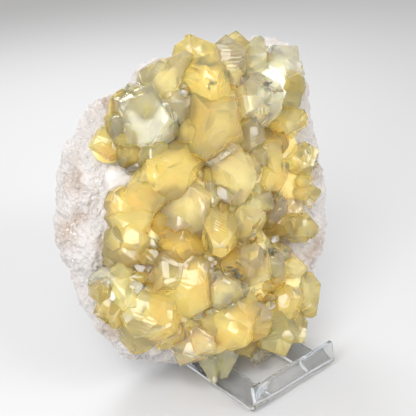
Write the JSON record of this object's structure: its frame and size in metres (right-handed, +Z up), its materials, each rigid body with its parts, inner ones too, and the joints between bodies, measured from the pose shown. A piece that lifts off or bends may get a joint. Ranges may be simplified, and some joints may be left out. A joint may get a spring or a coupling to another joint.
{
  "type": "calcite cluster on heulandite with display easel",
  "caption": "Honey-yellow calcite crystals grown together on a white heulandite plate, leaning in a clear bent-sheet display easel.",
  "frame": {"origin": "bottom centre of the object's box, on the surface that the easel stands on", "axes": "+Z up, +X along the easel's lip, +Y from the lip towards the easel's back"},
  "size_m": [0.1614, 0.1206, 0.1816],
  "materials": {
    "heulandite": "sugary, matt",
    "golden_calcite": "clear, vitreous",
    "clear_acrylic": "clear, polished"
  },
  "bodies": {
    "root": {"heulandite_matrix": "heulandite", "calcite_crystals": "golden_calcite", "acrylic_stand": "clear_acrylic"}
  },
  "joints": []
}
